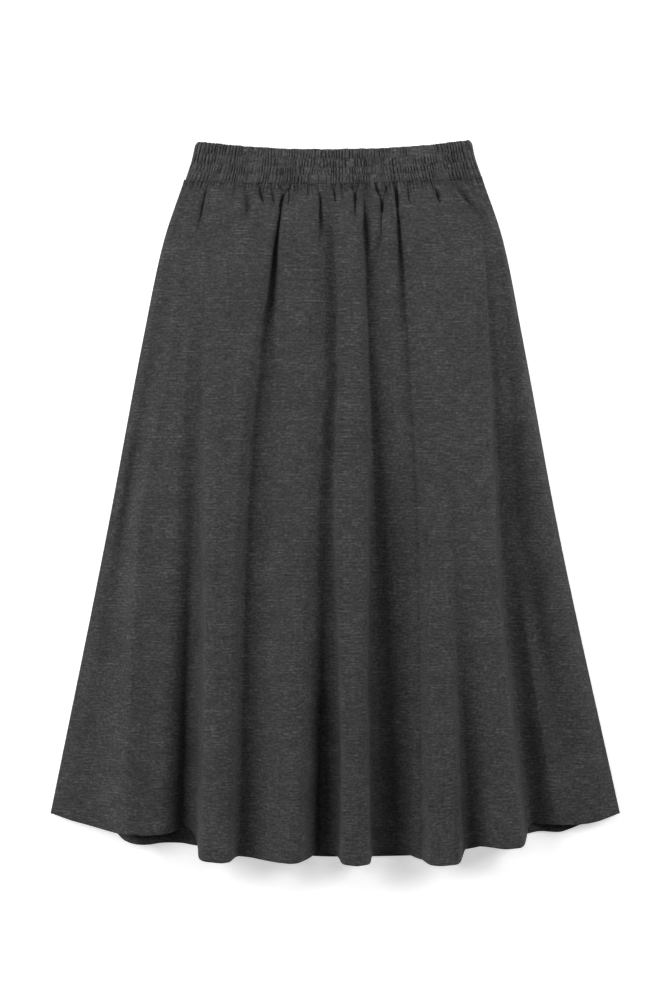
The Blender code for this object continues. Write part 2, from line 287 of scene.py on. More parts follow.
# %% Rows and columns
COLUMNS = 481
HEM_ROUND = 11  # columns over which the corners of the hemline are rounded off
ROW_STEPS = ((0.0, 0.0024), (0.12, 0.0040), (0.30, 0.0085), (0.96, 0.0085), (1.0, 0.0034))
BEND_SHARE = 0.27
SEAM_SHARE = 0.36  # the seam needs points where the hem alone would ask for few


def column_params(count, bend_share):
    guide = section(1.0)
    fine = np.linspace(0, len(guide) - 1, 8001)
    step = np.diff(soft_curve(guide, fine)[:, :2], axis=0)
    length = np.hypot(*step.T)
    angle = np.unwrap(np.arctan2(step[:, 1], step[:, 0]))
    bend = np.concatenate([[0], np.abs(np.diff(angle))])
    seam = np.abs(np.diff(soft_curve(section(0.0), fine)[:, 0]))
    share = (1 - bend_share - SEAM_SHARE) * length / length.sum()
    share += bend_share * bend / bend.sum() + SEAM_SHARE * seam / seam.sum()
    run = np.concatenate([[0], np.cumsum(share)])
    return np.interp(np.linspace(0, 1, count), run, fine)


def row_shares():
    at, steps = zip(*ROW_STEPS)
    shares = [0.0]
    while shares[-1] < 1.0:
        shares.append(shares[-1] + float(np.interp(shares[-1], at, steps)))
    return np.array(shares) / shares[-1]


params = column_params(COLUMNS, BEND_SHARE)
shares = row_shares()
print("front panel grid:", len(shares), "rows by", COLUMNS, "columns")


# %% Lay out the front panel's middle surface
def front_grid():
    seam = seam_line(soft_curve(section(0.0), params)[:, 0])
    rows, round_off = [], np.hanning(HEM_ROUND) / np.hanning(HEM_ROUND).sum()
    for v in shares:
        x, z, hem_y = soft_curve(section(float(v)), params).T
        hem_y = np.convolve(np.pad(hem_y, HEM_ROUND // 2, mode="edge"), round_off, "valid")
        rows.append(np.column_stack([x, seam + (hem_y - seam) * v, z]))
    return np.array(rows)


front = front_grid()
uncreased = front.copy()
print("front panel, lowest and highest:", front.min((0, 1)).round(1), front.max((0, 1)).round(1))

# %% [markdown]
# ## Creases
#
# Below the band the cloth is gathered, and small creases run down from the
# seam until the flutes take over. Further down there are a few long, soft
# ones. Each row of this table is one crease as a dressmaker would see it: where
# it starts and ends, how wide it is, how deep, and how sharp. They could be
# sculpted with a brush too, but in a table one can be moved and the rest stay.
#
# A trough with a raised lip on each side reads as cloth that has been pushed
# together. Each crease is pressed into the grid by lowering its points, so the
# shell keeps its thickness.

# %% The creases
CREASE_WIDE = 1.2  # all of them together, wider or narrower
LIP_RISE, LIP_AWAY = 0.28, 2.0  # the raised lips: share of the depth, and half widths away
# path: (x, y) points from the top down; width and depth: mm at start, middle and
# end; sharp: 0 for a soft trough, 1 for a tight fold
CREASES = (
    (((-146, 364), (-151, 342), (-158, 303)), (1.8, 2.3, 2.6), (2.8, 4.4, 0), 0.9),
    (((-98, 364), (-100, 340), (-101, 314)), (3.6, 4.4, 5.0), (2, 6.5, 0), 0.2),
    (((-87, 368), (-84, 352), (-80, 340)), (1.7, 2.2, 1.8), (4, 6, 0), 1.0),
    (((-74, 368), (-70, 350), (-66, 336)), (1.7, 2.2, 2.0), (2, 3.5, 0), 0.7),
    (((-65, 367), (-59, 355), (-62, 338)), (1.5, 1.9, 1.9), (3, 7, 2), 0.9),
    (((-51, 362), (-56, 355), (-60, 346)), (1.5, 1.9, 1.9), (2, 5, 3), 0.9),
    (((-50, 366), (-52, 350), (-53, 334)), (1.8, 1.8, 1.8), (2, 3.5, 0), 0.7),
    (((-20, 366), (-15, 345), (-17, 272)), (1.5, 1.9, 3.4), (3, 6, 0), 0.8),
    (((0, 368), (1, 356), (3, 340)), (1.7, 1.9, 1.8), (4, 5, 0), 0.9),
    (((19, 366), (25, 352), (25, 320)), (1.7, 2.2, 2.2), (3, 7, 0), 0.9),
    (((28, 366), (26, 358), (25, 348)), (1.7, 2.0, 1.8), (3, 4, 2), 1.0),
    (((34, 334), (36, 312), (39, 275)), (2.8, 4.6, 6.0), (0, 1.9, 0), 0.2),
    (((47, 369), (54, 350), (56, 334)), (1.8, 2.6, 2.6), (4, 6, 5), 1.0),
    (((61, 368), (59, 352), (56, 336)), (1.8, 2.4, 2.4), (3, 5, 4), 1.0),
    (((56, 338), (53, 300), (48, 264)), (2.6, 3.6, 3.6), (4, 5, 0), 0.6),
    (((70, 366), (73, 354), (74, 338)), (1.5, 1.9, 1.9), (3, 6, 1), 0.9),
    (((85, 368), (87, 352), (90, 338)), (1.7, 1.9, 1.8), (3, 4, 0), 0.8),
    (((112, 370), (119, 355), (123, 341)), (1.8, 2.4, 2.0), (3, 6, 0), 0.9),
    (((135, 376), (148, 356), (158, 343)), (2.0, 3.0, 3.4), (3, 5, 3), 0.7),
    (((156, 345), (170, 325), (182, 290)), (3.4, 6.0, 7.0), (2, 3.2, 0), 0.1),
    (((231, -70), (238, -140), (252, -235)), (5.0, 6.0, 7.0), (0, 4.5, 0), 0.2),
    (((73, 345), (76, 305), (84, 205)), (1.6, 3.4, 8.0), (1, 1.8, 1.2), 0.3),
    (((-222, 90), (-236, 10), (-250, -90)), (5.0, 6.5, 8.0), (0, 2.4, 0), 0.1),
)


def crease_depth(x, y):
    total = np.zeros_like(x)
    for path, width, depth, sharp in CREASES:
        px, py = np.array(path, float).T
        along = (py[0] - y) / (py[0] - py[-1])
        inside = ease((along + 0.04) / 0.10) * ease((1.12 - along) / 0.24)  # fades at both ends
        knots = (py[0] - py) / (py[0] - py[-1])
        middle = smooth_through(knots, px, along)
        half = CREASE_WIDE * smooth_through(knots, width, along)
        deep = smooth_through(knots, depth, along)
        t = np.abs(x - middle) / half
        soft = np.exp(-(t**2))
        tight = 1 / (1 + t**2) ** 2
        lips = LIP_RISE * np.exp(-((t - LIP_AWAY) ** 2))
        total += deep * inside * ((1 - sharp) * soft + sharp * tight - lips)
    return total


lowered = crease_depth(front[:, :, 0], front[:, :, 1])
print("deepest crease:", round(float(lowered.max()), 1), "mm")

# %% [markdown]
# ## Small gathers under the seam
#
# Between the larger creases the seam line is full of small gathers. Each one
# starts at the band and dies out within a few centimetres. They are all alike
# in kind and different in size, so they are drawn from a seeded generator: the
# same numbers come out each time the script runs.
#
# The band's own gathers run on below the seam for a centimetre or two. They are
# finer than this mesh, so the points only carry their count and strength, and
# the cloth's material draws them with a bump, with painted shade between them
# and painted light on them.

# %% Gathers that fade below the band
GATHERS_BELOW = 96
GATHER_LONG = (12.0, 48.0)  # shortest and longest, mm
GATHER_DEEP = (0.8, 3.6)
GATHER_HALF = (1.2, 2.6)  # half the width
GATHER_LEAN = 0.06  # how far they may lean to either side
GATHER_STRAY = 0.7  # how far they may lie off their even places
GATHER_WIDENS = 60.0  # this far down a gather would be twice as wide
BAND_GATHERS = 95  # along the whole band
RIB_LONG = (7.0, 15.0, 34.0)  # the finest gathers: shortest, usual and longest, mm
RIB_SIZE = (0.3, 0.85, 1.2)  # and how strongly they show
rng = np.random.default_rng(11)


def wander(u, seed, reach):
    """An uneven, seamless curve, for what people's hands never make even."""
    r = np.random.default_rng(seed)
    total = np.zeros_like(u)
    for count in (3.1, 7.3, 13.7, 22.9, 37.1):
        total += math.sin(seed + count) * 0.2 * np.sin(count * u * 3 + r.uniform(0, 6.3))
        total += r.normal(0, 0.5) * np.sin(count * u + r.uniform(0, 6.3))
    return reach * total


def gather_phase(u, strip):
    """Counts the band's gathers along one strip; whole numbers are crests."""
    return BAND_GATHERS / 2 * (u + 1) + wander(u, 5, 0.30) + wander(u, 40 + strip, 0.24)


def gather_depth(x, y):
    top = seam_line(x)
    fan = np.abs(front[:, :1, 0] - front[:, -1:, 0]) / (2 * SEAM_HALF)
    total = np.zeros_like(x)
    for i in range(GATHERS_BELOW):
        stray = rng.uniform(-GATHER_STRAY, GATHER_STRAY)
        start = (-1 + (2 * i + 1 + stray) / GATHERS_BELOW) * SEAM_HALF * 0.985
        long = rng.uniform(*GATHER_LONG)
        deep = rng.uniform(*GATHER_DEEP)
        half = rng.uniform(*GATHER_HALF)
        lean = rng.uniform(-GATHER_LEAN, GATHER_LEAN)
        drop = top - y
        middle = start * fan + lean * drop
        t = (x - middle) / (half * (1 + drop / GATHER_WIDENS))
        total += deep * np.exp(-(t**2)) * (1 - ease(drop / long)) ** 1.5
    return total


def fine_ribs(x, y):
    """The band's gathers below the seam: their count, and how strongly they show."""
    fan = np.abs(x[:, :1] - x[:, -1:]) / (2 * SEAM_HALF)
    u = x / (SEAM_HALF * fan)
    long = np.clip(RIB_LONG[1] + wander(2.3 * u, 21, 7.0), RIB_LONG[0], RIB_LONG[2])
    size = np.clip(RIB_SIZE[1] + wander(2.9 * u, 22, 0.3), RIB_SIZE[0], RIB_SIZE[2])
    return np.stack([gather_phase(u, 0), size * (1 - ease((seam_line(x) - y) / long)), 0 * x], axis=2)


ribs = fine_ribs(front[:, :, 0], front[:, :, 1])
lowered += gather_depth(front[:, :, 0], front[:, :, 1])
print("with the gathers, the deepest point is lowered", round(float(lowered.max()), 1), "mm")

# %% [markdown]
# ## Rumple
#
# Soft cloth is never as smooth as a drawn surface. A little unevenness, broad
# and low, keeps the light on the flutes from running in ruled lines. A
# displacement texture would do, but it needs a map without seams. A sum of waves
# with seeded directions costs nothing and has none.

# %% Low unevenness over the whole panel
RUMPLE_WAVES = 36
RUMPLE_LENGTH = (20.0, 90.0)  # shortest and longest wave, mm
RUMPLE_RISE = 0.60


def run_along(grid, axis):
    """The distance run along the grid's lines, from 0 at their first point."""
    steps = np.linalg.norm(np.diff(grid, axis=axis), axis=-1)
    return np.insert(steps.cumsum(axis=axis), 0, 0.0, axis=axis)


def rumple(x, y, seed):
    r = np.random.default_rng(seed)
    total = np.zeros_like(x)
    for _ in range(RUMPLE_WAVES):
        length = r.uniform(*RUMPLE_LENGTH)
        turn = r.uniform(0, math.pi)
        phase = r.uniform(0, 2 * math.pi)
        wave = 2 * math.pi / length
        along = wave * (x * math.cos(turn) + y * math.sin(turn))
        total += (length / RUMPLE_LENGTH[1]) * np.sin(along + phase)
    return RUMPLE_RISE * total / math.sqrt(RUMPLE_WAVES / 2)


uneven = rumple(run_along(front, axis=1), front[:, :, 1], seed=3)
lowered += uneven
print("rumple reaches", round(float(np.abs(uneven).max()), 2), "mm")

# %% [markdown]
# ## Press the creases in, but never through the back panel
#
# Points move along the panel's own normal, so a crease on a steep flank goes
# into the flank. Moving them straight down would be simpler, but on a flank it
# would only slide the cloth over itself. A soft floor keeps every point above
# the back panel, and the seams hold the cloth where it is.

# %% Normals, and the finished middle surface
SIDE_HELD = 9  # columns over which the creases fade towards a side seam
SEAM_HELD, SEAM_REACH = 0.45, 5.0  # share of their depth at the seam; mm until it is all there
CLEAR, CLEAR_SOFT = 2.6, 0.8  # the lowest height of the middle surface, and how softly it lands
LOW_ALREADY = 2.9  # what lies lower than this to begin with stays where it is
SEAM_TUCK, SEAM_SINK = 1.4, 0.35  # how far the seam allowance goes under the band, and down


def grid_normals(grid):
    across = np.gradient(grid, axis=1)
    down = np.gradient(grid, axis=0)
    n = np.cross(down, across)
    return n / np.linalg.norm(n, axis=2)[:, :, None]


def soft_floor(z, low, blend):
    return low + blend * np.logaddexp(0, (z - low) / blend)


sides = np.minimum(np.arange(COLUMNS), np.arange(COLUMNS)[::-1])
near_side = ease(sides / SIDE_HELD)
below_seam = seam_line(front[:, :, 0]) - front[:, :, 1]
near_seam = SEAM_HELD + (1 - SEAM_HELD) * ease(below_seam / SEAM_REACH)
start = np.minimum(front[:, :, 2], LOW_ALREADY)
front = front - grid_normals(front) * (lowered * near_side * near_seam)[:, :, None]
front[:, :, 2] = np.maximum(start, soft_floor(front[:, :, 2], CLEAR, CLEAR_SOFT))
front[0, :, 1] += SEAM_TUCK
front[0, :, 2] -= SEAM_SINK
print("front panel, mm high:", front[:, :, 2].min().round(2), "to", front[:, :, 2].max().round(2))

# %% [markdown]
# ## One closed shell from one tall grid
#
# A piece of cloth has an outside, a folded edge and an inside. If the rows of
# the mesh run down the outside, round the hem and back up the inside, then one
# grid makes the whole shell, and only the two side edges need closing. A
# Solidify modifier would be quicker, but it can't turn up a hem, and it would
# give the inside as many faces as the outside. Here the inside takes fewer rows,
# because nobody sees it up close.
#
# Two attributes go with the points. `grain` holds each point's place on the
# flat cloth, in metres, so that the weave can follow the folds. `ribs` holds
# the count and strength of the finest gathers. The UV map spreads the same grid
# over a square for baking.


# %% Make a piece from points and faces
def make_piece(name, points, faces, grain, uv=None, ribs=None):
    mesh = bpy.data.meshes.new(name)
    mesh.from_pydata([tuple(p) for p in (points - ORIGIN) * MM], [], faces)
    mesh.validate()
    mesh.polygons.foreach_set("use_smooth", [True] * len(mesh.polygons))
    layer = mesh.attributes.new("grain", "FLOAT_VECTOR", "POINT")
    layer.data.foreach_set("vector", (np.asarray(grain, float) * MM).ravel())
    if ribs is not None:
        layer = mesh.attributes.new("ribs", "FLOAT_VECTOR", "POINT")
        layer.data.foreach_set("vector", np.asarray(ribs, float).ravel())
    if uv is not None:
        loops = np.empty(len(mesh.loops), int)
        mesh.loops.foreach_get("vertex_index", loops)
        mesh.uv_layers.new(name="OFBake").uv.foreach_set("vector", uv[loops].ravel())
    mesh.update()
    piece = bpy.data.objects.new(name, mesh)
    bpy.context.scene.collection.objects.link(piece)
    return piece


print("the outline's middle lies at", ORIGIN[:2], "in the tables' millimetres")


# %% Close a tall grid into a shell
def shell(name, outside, edge, inside, stations, grain, ribs=None):
    """outside rows run down, edge rows go round, inside rows run back up.
    stations: for each inside row, the outside row that lies over it."""
    loop = np.concatenate([outside, edge, inside])
    rows, cols = loop.shape[:2]

    def at(r, c):
        return (r % rows) * cols + c

    faces = [
        (at(r, c), at(r + 1, c), at(r + 1, c + 1), at(r, c + 1))
        for r in range(rows)
        for c in range(cols - 1)
    ]
    first_inside = len(outside) + len(edge)
    for c, turn in ((0, -1), (cols - 1, 1)):
        ring = [at(r, c) for r in range(len(outside) - 1, first_inside + 1)]
        faces.append(ring[::turn])
        for i in range(len(stations) - 1):
            over = [at(r, c) for r in range(stations[i + 1], stations[i] + 1)]
            faces.append((over + [at(first_inside + i, c), at(first_inside + i + 1, c)])[::turn])
    share = np.concatenate(
        [
            np.linspace(0, 0.80, len(outside)),
            np.linspace(0.81, 0.83, len(edge)),
            np.linspace(0.84, 1, len(inside)),
        ]
    )
    u, v = np.meshgrid(np.linspace(0.01, 0.99, cols), 0.01 + 0.98 * share)
    uv = np.stack([u, v], axis=2).reshape(-1, 2)
    if ribs is not None:
        ribs = np.concatenate([ribs, np.zeros((rows - len(ribs), cols, 3))]).reshape(-1, 3)
    return make_piece(name, loop.reshape(-1, 3), faces, grain.reshape(-1, 3), uv, ribs)


def round_edge(last, normal, down, thick, steps=4):
    """Rows that turn a folded edge from the outside to the inside."""
    r = thick / 2
    turns = [math.pi * (k + 1) / (steps + 1) for k in range(steps)]
    return np.array([last + (down * math.sin(a) - normal * (1 - math.cos(a))) * r for a in turns])


def unit(v):
    return v / np.linalg.norm(v, axis=-1, keepdims=True)


print("shell helpers ready")

# %% [markdown]
# ## The front panel
#
# The cloth is 1.4 mm thick. At the hem 20 mm is turned up inside, so the edge
# is a soft round fold of double thickness, and the turning ends in a small
# step on the inside. The turning could be a piece of its own, but as a thicker
# end of the same shell it has no joint that might open.

# %% The cloth's thickness, and its place on the flat cut
CLOTH = 1.4
TURNED = 1.2  # the extra thickness of the turned-up cloth
HEM_DEPTH = 20.0
GATHERED = 0.2  # the share of a panel's rows that the gathers draw in

front_length = float(run_along(front, axis=0)[-1, COLUMNS // 2])
turn_row = int(np.argmin(np.abs(shares - (1 - HEM_DEPTH / front_length))))


def grain_of(grid, down, offset=0.0):
    """Place on the flat cloth. Across is measured along each row, the gathered
    rows take it from the first row below them, and both blend into each other.
    offset lies in another layer of the flecks, so that two sides never match."""
    across = run_along(grid, axis=1)
    across -= across[:, across.shape[1] // 2][:, None]
    held = int(GATHERED * len(grid))
    across[:held] = across[held]
    reach = np.hanning(2 * (held // 2) + 3)[:, None]
    wide = np.pad(across, ((held // 2 + 1,) * 2, (0, 0)), mode="edge")
    level = sum(w * wide[k : k + len(across)] for k, w in enumerate(reach)) / reach.sum()
    return np.stack([level, down, np.full_like(down, offset)], axis=2)


print("from seam to hem the cloth is", round(front_length), "mm long")


# %% Build the front panel
INSIDE_OFFSET = 40.0  # for the inside's flecks
FINE_ABOVE, FINE_STEP, STEP = 0.16, 3, 4  # the inside has every third or fourth row


def build_front_panel():
    n = grid_normals(front)
    n[0, :, 1] = 0  # cut square at the seam, clear of the band
    n = unit(n)
    outside = front + n * CLOTH / 2
    down = unit(front[-1] - front[-2])
    edge = round_edge(outside[-1], n[-1], down, CLOTH + TURNED)
    last = len(front) - 1
    # inside rows from the hem up: first the turning, then the single cloth
    up = [last, last - 2, turn_row]
    extra = [TURNED] * 3
    row = turn_row
    while row > 0:
        up.append(row)
        extra.append(0.0)
        row -= FINE_STEP if shares[row] < FINE_ABOVE else STEP
    up.append(0)
    extra.append(0.0)
    inside = np.array([front[r] - n[r] * (CLOTH / 2 + e) for r, e in zip(up, extra)])
    grain = grain_of(uncreased, SEAM_Y - uncreased[:, :, 1])  # the weft lies straight across
    edge_grain = np.repeat(grain[-1:], len(edge), axis=0)
    grain = np.concatenate([grain, edge_grain, grain[up] + np.array([0, 0, INSIDE_OFFSET])])
    return shell("front_skirt_panel", outside, edge, inside, up, grain, ribs), outside, n


front_piece, front_outside, front_normals = build_front_panel()
print("front panel:", len(front_piece.data.polygons), "faces")

# %% [markdown]
# ## The back panel
#
# The back panel is cut like the front and lies under it, flat on the surface.
# Towards the hem a little of its own spare width rises in low swells where the
# flutes above leave room. Its hem shows below the front's at both sides, so
# that line is given point by point.
#
# At the sides the seam allowances are pressed to the back, where they fill the
# step up to the front panel's edge. Without them light would shine through the
# side seams.

# %% Build the back panel
# points (x, y) of the hem from left to right
BACK_HEM = (
    (-327, -361), (-290, -369), (-262, -377), (-250, -383.5), (-241, -391), (-225, -395),
    (-212, -396), (-201, -395.5), (-178, -396), (-160, -399), (-85, -406), (0, -412),
    (80, -411), (150, -404), (205, -391), (223, -386), (240, -382.5), (260, -383.5),
    (276, -379), (291, -373), (314, -367), (331, -361),
)  # fmt: skip
# x, half width and rise of each swell at the hem
SWELLS = (
    (-226, 34, 20.0), (-132, 20, 4.2), (-58, 26, 4.0), (26, 17, 4.4), (112, 24, 4.2),
    (188, 16, 3.4), (256, 24, 1.2),
)  # fmt: skip
SWELLS_FROM = 0.55  # share of the length where they start to rise
SWELLS_DRAWN_IN = 0.62  # how far the waist would draw them together
BACK_GRID = (91, 181)
SIDE_SEAM = 9.0  # width of a side seam's allowances
SEAM_OVERLAP = 0.15  # how far they reach past the front panel's underside
LOFT = 0.05  # soft cloth lies a little thicker than it is


def build_back_panel():
    left, right = LINES[0][2], LINES[-1][2]
    hem_x, hem_y = zip(*BACK_HEM)
    rows, cols = BACK_GRID
    across = np.linspace(0, 1, cols)
    top = seam_line(left[0] + (right[0] - left[0]) * across) - SEAM_GAP
    low = smooth_through(hem_x, hem_y, left[-1] + (right[-1] - left[-1]) * across)
    grid = []
    for v in np.linspace(0, 1, rows):
        a, b = smooth_through(STATIONS, left, v), smooth_through(STATIONS, right, v)
        x = a + (b - a) * across
        lift = np.zeros(cols)
        for at, half, rise in SWELLS:
            place = at * (SWELLS_DRAWN_IN + (1 - SWELLS_DRAWN_IN) * v)
            risen = rise * ease((v - SWELLS_FROM) / (1 - SWELLS_FROM))
            lift += risen * np.exp(-(((x - place) / (half * 0.6)) ** 2))
        grid.append(np.column_stack([x, top + (low - top) * v, lift]))
    low_side = np.array(grid)
    middle = low_side + np.array([0, 0, CLOTH / 2 + LOFT])
    n = grid_normals(middle)
    down = run_along(middle, axis=0)
    turn = int(np.argmin(np.abs(down[:, cols // 2] - (down[-1, cols // 2] - HEM_DEPTH))))
    thick = np.where(np.arange(rows) >= turn, CLOTH + TURNED, CLOTH)[:, None, None]
    from_side = np.minimum(middle[:, :, 0] - middle[:, :1, 0], middle[:, -1:, 0] - middle[:, :, 0])
    # the allowances fill the step up to the front panel's edge
    front_low = smooth_through(STATIONS, LINES[0][3], np.linspace(0, 1, rows)) - CLOTH / 2
    step = front_low[:, None, None] - np.where(thick > CLOTH, TURNED, 0) - thick + SEAM_OVERLAP
    thick = thick + np.maximum(step, 0) * (1 - ease(from_side / SIDE_SEAM))[:, :, None]
    outside = low_side + np.array([0, 0, LOFT]) + n * thick
    edge = round_edge(outside[-1], n[-1], unit(middle[-1] - middle[-2]), CLOTH + TURNED)
    up = list(range(rows - 1, 0, -3)) + [0]
    inside = low_side[up]
    grain = grain_of(middle, down, offset=90.0)
    grain = np.concatenate([grain, np.repeat(grain[-1:], len(edge), axis=0), grain[up]])
    return shell("back_skirt_panel", outside, edge, inside, up, grain)


back_piece = build_back_panel()
print("back panel:", len(back_piece.data.polygons), "faces")

# %% [markdown]
# ## The shirred waistband
#
# A shirred band is sewn with the elastic stretched. When it springs back, the
# cloth crowds into small upright gathers, and each line of stitching pinches
# them. Between two lines the gathers puff out, and they rarely match from one
# strip to the next.
#
# The gathers are far too many to place by hand, so each strip gets a phase
# that runs along it at a wandering pace, and the gathers are its waves. A bump
# in the material could draw them with fewer faces, but then the band's upper
# edge would stay straight, and here the gathers nibble at it.

# %% The band's shape
BAND_HEIGHT, BAND_ARC, BAND_TOP_HALF = 39.6, 4.5, 160.0
BAND_TILT = 0.8  # its right end lies this much higher than its middle
STITCH_LINES = (0.0, 0.235, 0.47, 0.705, 1.0)  # shares of the band's height
BAND_BASE, BAND_THICK = 3.3, 1.3  # where its inside lies, and cloth with elastic
BACK_BAND_THICK, BACK_BAND_RELIEF = 2.7, 0.35  # pressed flatter by the front
GATHER_RISE = 2.75
BUNCH_RISE = 1.25  # gathers crowd up in some places and lie low in others
LINE_DIP, LINE_WIDE = 0.35, 0.03  # a line of stitching: depth in mm, share of the height


def band_place(u, h):
    half = SEAM_HALF + (BAND_TOP_HALF - SEAM_HALF) * (1.5 - 0.5 * h) * h
    half = half - 3.0 * np.maximum(0.0, (h - 0.875) / 0.125) ** 2  # rounds the upper corners
    x = half * u
    top = SEAM_Y + BAND_HEIGHT + (SEAM_ARC + BAND_ARC) * u**2 + BAND_TILT * u
    low = seam_line(SEAM_HALF * u)
    return x, low + (top - low) * h


def band_relief(u, h):
    """How far the gathers stand over the band's base, in mm."""
    strip = np.clip(np.searchsorted(STITCH_LINES, h, side="right") - 1, 0, 3)
    low, high = STITCH_LINES[strip], STITCH_LINES[strip + 1]
    within = (h - low) / (high - low)
    phase = gather_phase(u, int(strip)) + 0.08 * np.sin(3.1 * within + 30 * u)
    size = np.clip(0.80 + 0.34 * wander(2.1 * u, 60 + strip, 1.0), 0.35, 1.25)
    wave = np.abs(np.cos(math.pi * phase)) ** 0.85
    puff = 0.62 + 0.38 * math.sin(math.pi * min(max(within, 0.0), 1.0)) ** 0.6
    dip = sum(math.exp(-(((h - s) / LINE_WIDE) ** 2)) for s in STITCH_LINES[1:4])
    bunch = np.clip(wander(2.4 * u, 80 + strip, 1.0), -1.2, 1.6) * puff
    return GATHER_RISE * size * wave * puff + BUNCH_RISE * bunch - LINE_DIP * dip


u_line = np.linspace(-1, 1, 9)
print("relief across one strip, mm:", band_relief(u_line, 0.6).round(2))


# %% Build the two halves of the band
FRONT_BAND_GRID = (45, 1141)
BACK_BAND_GRID = (17, 301)
END_ROLL, ROLLS_FROM = 1.5, 0.965  # how far the band's two ends roll down
EDGE_FROM = 0.965  # share of the height where the upper edge starts to close
NIBBLE = 0.35
SEAM_LOW, SEAM_LOW_TO = 0.55, 0.07  # at the seam the gathers are lower, up to this share
BAND_FULLNESS = 1.9  # gathered cloth holds far more width than it covers


def build_band(name, grid, base, thick, relief, sag):
    rows, cols = grid
    u = np.linspace(-1, 1, cols)
    roll = END_ROLL * np.maximum(0.0, (np.abs(u) - ROLLS_FROM) / (1 - ROLLS_FROM)) ** 2
    outside, inside = [], []
    for h in np.linspace(1.0, 0.0, rows):
        lift = relief * band_relief(u, h)
        lift *= SEAM_LOW + (1 - SEAM_LOW) * float(ease(h / SEAM_LOW_TO))
        x, y = band_place(u, h)
        y = y + NIBBLE * lift * ease((h - 0.9) / 0.1)  # the gathers nibble at the upper edge
        close = 1 - np.sqrt(max(0.0, 1 - max(0.0, (h - EDGE_FROM) / (1 - EDGE_FROM)) ** 2))
        z = base + thick * (1 - 0.5 * close) + lift * (1 - 0.6 * close) - np.minimum(roll, sag)
        outside.append(np.column_stack([x, y, z]))
    outside = np.array(outside)
    up = [rows - 1, rows // 2, 3, 0]
    for r in up:
        low = outside[r].copy()
        low[:, 2] = base
        inside.append(low)
    grain = grain_of(outside, run_along(outside, axis=0), offset=150.0 + base)
    grain[:, :, 0] *= BAND_FULLNESS
    foot = outside[-1:].copy()
    foot[:, :, 2] = (foot[:, :, 2] + base) / 2
    grain = np.concatenate([grain, grain[-1:], grain[up]])
    return shell(name, outside, foot, np.array(inside), up, grain), outside


band_front, band_surface = build_band("front_waistband", FRONT_BAND_GRID, BAND_BASE, BAND_THICK, 1.0, 1.5)
band_back, _ = build_band("back_waistband", BACK_BAND_GRID, 0.0, BACK_BAND_THICK, BACK_BAND_RELIEF, 0.9)
print("waistband:", len(band_front.data.polygons), "and", len(band_back.data.polygons), "faces")

# %% [markdown]
# ## Stitches
#
# A line of machine stitching is a row of short, slightly sunken dashes. Each is
# a small spindle of thread laid along the cloth's own surface. One mesh holds a
# whole line: separate objects for hundreds of stitches would be slow.


# %% Make a line of stitches
# places along one stitch, and how thick the thread is there
STITCH_RINGS = ((-0.5, 0.15), (-0.36, 0.85), (0.0, 1.0), (0.36, 0.85), (0.5, 0.15))
STITCH_SIDES = 5


def stitch_line(name, path, up, pitch, fill, radius):
    """path: points along the seam in mm; up: the surface's normals there."""
    run = run_along(path, axis=0)
    count = int(run[-1] / pitch)
    points, faces, grain = [], [], []
    for i in range(count):
        mid = (i + 0.5) * run[-1] / count
        ends = [mid - fill * pitch / 2, mid + fill * pitch / 2]
        a, b, c = (np.array([np.interp(s, run, path[:, k]) for k in range(3)]) for s in (*ends, mid))
        n = unit(np.array([np.interp(mid, run, up[:, k]) for k in range(3)]))
        along = b - a
        side = unit(np.cross(n, along))
        first = len(points)
        for share, size in STITCH_RINGS:
            centre = c + along * share + n * radius * (0.55 * size - 0.2)
            for s in range(STITCH_SIDES):
                t = 2 * math.pi * s / STITCH_SIDES
                points.append(centre + (side * math.cos(t) + n * math.sin(t) * 0.8) * radius * size)
                grain.append((mid + share * pitch, s, i))
        rings = len(STITCH_RINGS)
        for k in range(rings - 1):
            for s in range(STITCH_SIDES):
                p, q = first + k * STITCH_SIDES + s, first + k * STITCH_SIDES + (s + 1) % STITCH_SIDES
                faces.append((p, p + STITCH_SIDES, q + STITCH_SIDES, q))
        faces.append([first + s for s in range(STITCH_SIDES)])
        last = first + (rings - 1) * STITCH_SIDES
        faces.append([last + s for s in range(STITCH_SIDES)][::-1])
    piece = make_piece(name, np.array(points), faces, grain)
    print(name, "has", count, "stitches")
    return piece


print("each stitch has", len(STITCH_RINGS) * STITCH_SIDES, "points")


# %% Sew the hem and the band
HEM_STITCH = (3.3, 0.62, 0.26)  # pitch in mm, share of it that is thread, radius in mm
BAND_STITCH = (2.9, 0.6, 0.2)
sewn = turn_row + 1
stitches = [stitch_line("hem_stitching", front_outside[sewn], front_normals[sewn], *HEM_STITCH)]
band_normals = grid_normals(band_surface)
band_rows = np.linspace(1.0, 0.0, FRONT_BAND_GRID[0])
for k, share in enumerate(STITCH_LINES[:4]):
    row = int(np.argmin(np.abs(band_rows - max(share, 0.02))))
    name = f"band_stitching_{k + 1}"
    stitches.append(stitch_line(name, band_surface[row], band_normals[row], *BAND_STITCH))
